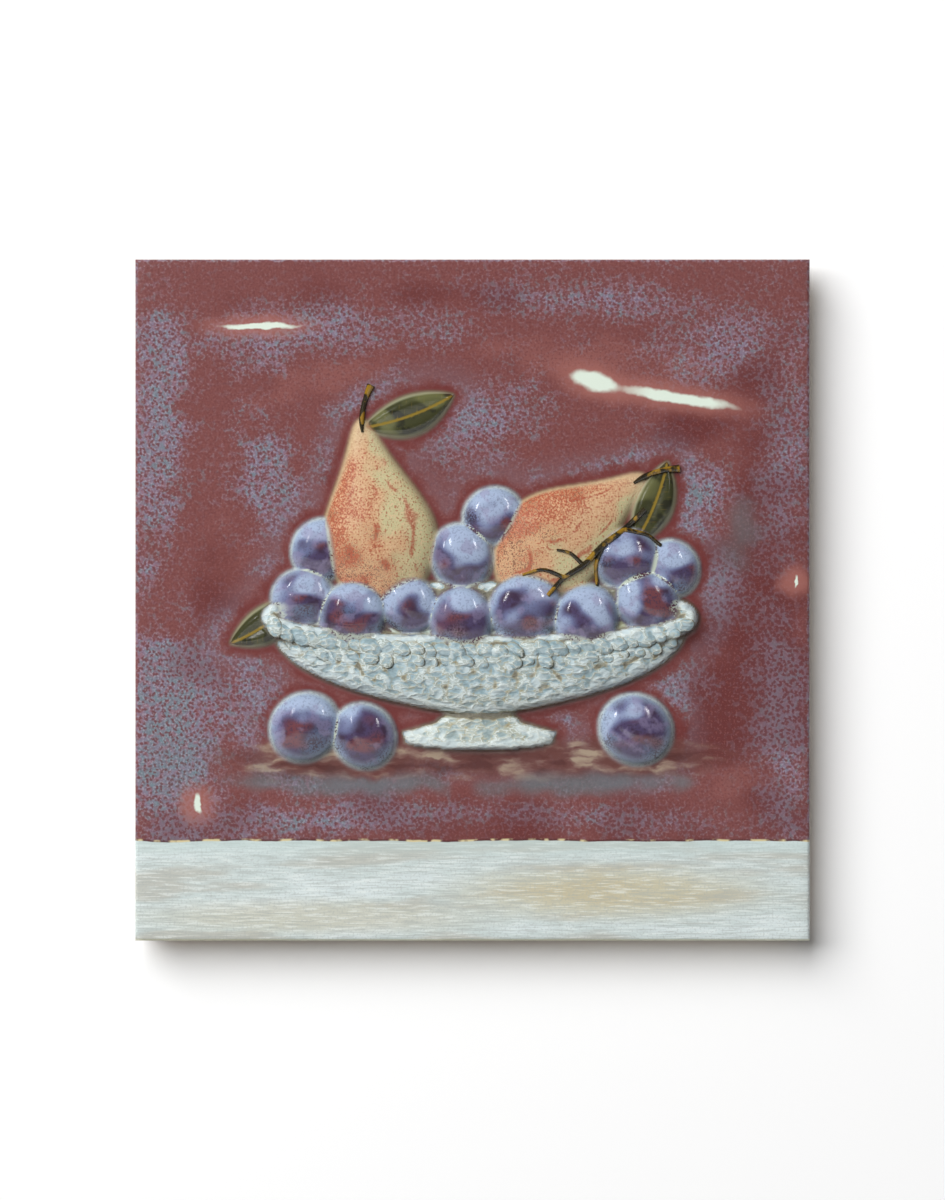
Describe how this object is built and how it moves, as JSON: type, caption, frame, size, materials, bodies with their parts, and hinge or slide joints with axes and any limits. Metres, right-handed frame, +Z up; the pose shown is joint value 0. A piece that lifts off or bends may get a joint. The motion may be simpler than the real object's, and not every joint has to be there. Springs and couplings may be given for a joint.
{
  "type": "glazed relief slab",
  "caption": "Square glazed stoneware picture slab with a still life of fruit in a footed bowl in low relief and a foot of ribs on its back; it hangs flat on a wall.",
  "frame": {"origin": "middle of the back, on the wall face of the middle foot rib", "axes": "+Z up as it hangs, the painted face looks along -Y, +Y points into the wall, +X to the right seen from the front"},
  "size_m": [0.298, 0.0287, 0.301],
  "materials": {
    "glaze": "gloss",
    "clay": "matte"
  },
  "bodies": {
    "root": {"painted_slab": "glaze"}
  },
  "joints": []
}
